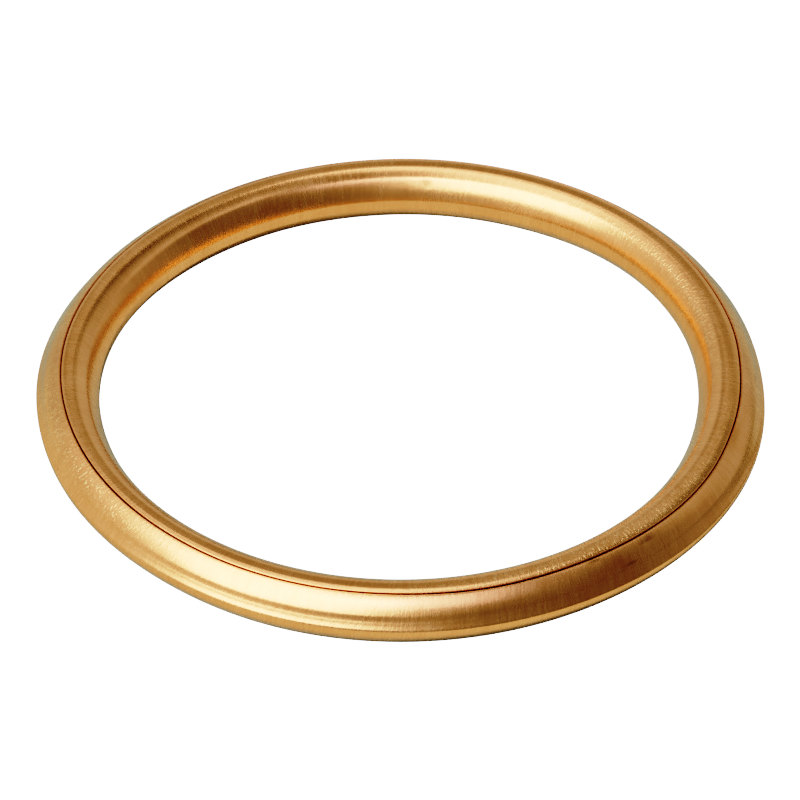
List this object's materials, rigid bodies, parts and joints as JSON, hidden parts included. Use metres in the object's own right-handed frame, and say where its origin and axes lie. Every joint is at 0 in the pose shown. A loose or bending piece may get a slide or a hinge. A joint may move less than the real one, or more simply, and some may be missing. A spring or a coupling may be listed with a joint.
{
  "type": "exhaust gasket",
  "caption": "Hollow ring rolled from copper sheet with an open seam on its upper outer shoulder, crushed between an exhaust port and a pipe flange to seal them.",
  "frame": {"origin": "centre of the ring, on the plane of its seat", "axes": "+Z along the ring's axis, from the seat up to the crest beside the open seam; X and Y lie in the plane of the seat"},
  "size_m": [0.046, 0.046, 0.004],
  "materials": {
    "copper_sheet": "soft annealed copper, satin, finely brushed across the section"
  },
  "bodies": {
    "root": {"folded_ring": "copper_sheet"}
  },
  "joints": []
}
